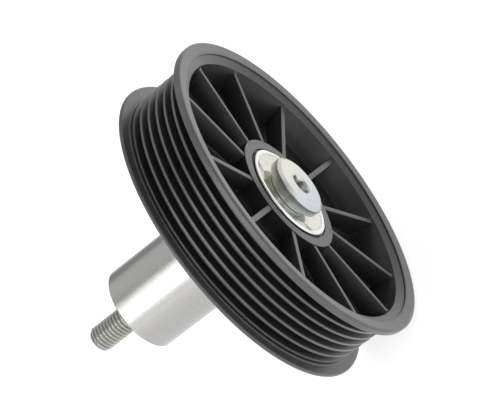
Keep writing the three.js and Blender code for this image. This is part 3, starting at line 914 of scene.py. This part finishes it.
def makeRivets(tree, material):
    grip = cage["sheet"] + cage["gap"] + 0.02
    top = grip + cage["rivetRise"]
    head = cage["rivetHead"]
    outline = roundOutline([
        (0, middleDepth - top, 0), (head * 0.75, middleDepth - top, 0.25), (head, middleDepth - grip, 0.05),
        (cage["rivetShank"], middleDepth - grip, 0.04), (cage["rivetShank"], middleDepth + grip, 0.04),
        (head, middleDepth + grip, 0.05), (head * 0.75, middleDepth + top, 0.25), (0, middleDepth + top, 0)],
        closed=False)
    between = math.pi / bearing["balls"]
    place = (bearing["pitchRadius"] * math.cos(between), bearing["pitchRadius"] * math.sin(between))
    one = revolve("rivet", outline, 20, closed=False, centre=place)
    values = {"Count": bearing["balls"], "Weld": 1e-7, "Material": material}
    piece = grown(one, tree, values, "cageRivets")
    nodes = [f"cage_rivet_{i + 1}" for i in range(bearing["balls"])]
    return settle(piece, "cage", "pressed_steel", *nodes)


# ---- camera, light and floor

camera = {"place": (-0.49205, -0.27507, 0.28068), "turn": (51.717, 42.487, -94.176), "lens": 127.0}
studio = {"floorSize": 6.0, "floorDrop": 0.0004, "floorColour": (0.5, 0.5, 0.5), "floorGlow": 0.8,
          "world": (0.4, 0.405, 0.41), "worldStrength": 1.0}
lamps = [
    {"name": "sideBox", "towards": (-0.66, 0.36, 0.66), "distance": 0.9, "size": (0.4, 0.8), "power": 3.2},
    {"name": "topBox", "towards": (0.4, 0.2, 0.87), "distance": 1.2, "size": (1.3, 1.3), "power": 2.6},
    {"name": "eyeBox", "towards": (-0.85, -0.1, 0.5), "distance": 1.0, "size": (0.6, 0.6), "power": 1.6},
    {"name": "lowBox", "towards": (-0.93, 0.3, 0.15), "distance": 1.0, "size": (0.9, 0.5), "power": 1.4},
    {"name": "fillBox", "towards": (0.6, -0.75, 0.3), "distance": 1.0, "size": (0.8, 0.8), "power": 0.9},
]


def makeCamera():
    data = bpy.data.cameras.new("camera")
    data.lens = camera["lens"]
    data.sensor_width = 36
    data.clip_start = 0.01
    eye = bpy.data.objects.new("camera", data)
    eye.location = camera["place"]
    eye.rotation_euler = [math.radians(angle) for angle in camera["turn"]]
    bpy.context.scene.collection.objects.link(eye)
    bpy.context.scene.camera = eye


def makeLamps(aim):
    for lamp in lamps:
        data = bpy.data.lights.new(lamp["name"], "AREA")
        data.shape = "RECTANGLE"
        data.size, data.size_y = lamp["size"]
        data.energy = lamp["power"]
        back = Vector(lamp["towards"]).normalized()
        box = bpy.data.objects.new(lamp["name"], data)
        box.location = aim + back * lamp["distance"]
        box.rotation_euler = back.to_track_quat("Z", "Y").to_euler()
        bpy.context.scene.collection.objects.link(box)


def makeWorld():
    world = bpy.data.worlds.new("studio")
    world.use_nodes = True
    background = world.node_tree.nodes["Background"]
    background.inputs["Color"].default_value = (*studio["world"], 1)
    background.inputs["Strength"].default_value = studio["worldStrength"]
    bpy.context.scene.world = world


def makeFloor(level):
    half = studio["floorSize"] / 2
    mesh = bpy.data.meshes.new("floor")
    corners = [(-half, -half, level), (half, -half, level), (half, half, level), (-half, half, level)]
    mesh.from_pydata(corners, [], [(0, 1, 2, 3)])
    floor = bpy.data.objects.new("floor", mesh)
    material, graph = newMaterial("floorPaper")
    closeMaterial(graph, {"Base Color": (*studio["floorColour"], 1), "Roughness": 0.9,
                          "Specular IOR Level": 0.1, "Emission Color": (1, 1, 1, 1),
                          "Emission Strength": studio["floorGlow"]})
    mesh.materials.append(material)
    bpy.context.scene.collection.objects.link(floor)


# ---- build

nylon = nylonMaterial()
zinc = zincMaterial()
capPlate = capMaterial()
threadSteel = threadMaterial()
aluminium = aluminiumMaterial()
bearingSteel = steelMaterial("bearingSteel", (0.62, 0.62, 0.63), (0.45, 0.45, 0.46), 0.1, 0.22, 0.000003)
pressedSteel = steelMaterial("pressedSteel", (0.42, 0.41, 0.39), (0.26, 0.25, 0.24), 0.3, 0.48, 0.000006)
rubber = rubberMaterial()
print("materials made")

makePulley(nylon)
print("pulley made")
makeBolt(zinc, threadSteel)
makeCap(capPlate)
makeSpacer(aluminium)
print("fixed pieces made")
makeOuterRing(bearingSteel)
makeInnerRing(bearingSteel)
makeSeal("bearingSealFront", "bearing_seal_front", -1, rubber)
makeSeal("bearingSealRear", "bearing_seal_rear", 1, rubber)
for number in range(1, bearing["balls"] + 1):
    makeBall(number, bearingSteel)
rounds = repeatTree()
makeCageHalf("cageHalfFront", "cage_half_front", -1, rounds, pressedSteel)
makeCageHalf("cageHalfRear", "cage_half_rear", 1, rounds, pressedSteel)
makeRivets(rounds, pressedSteel)
print("bearing made")

makeCamera()
makeLamps((cadBox[0] + cadBox[1]) / 2)
makeWorld()
makeFloor(cadBox[0].z - studio["floorDrop"])
bpy.context.scene.view_settings.view_transform = "Standard"
print("studio made")
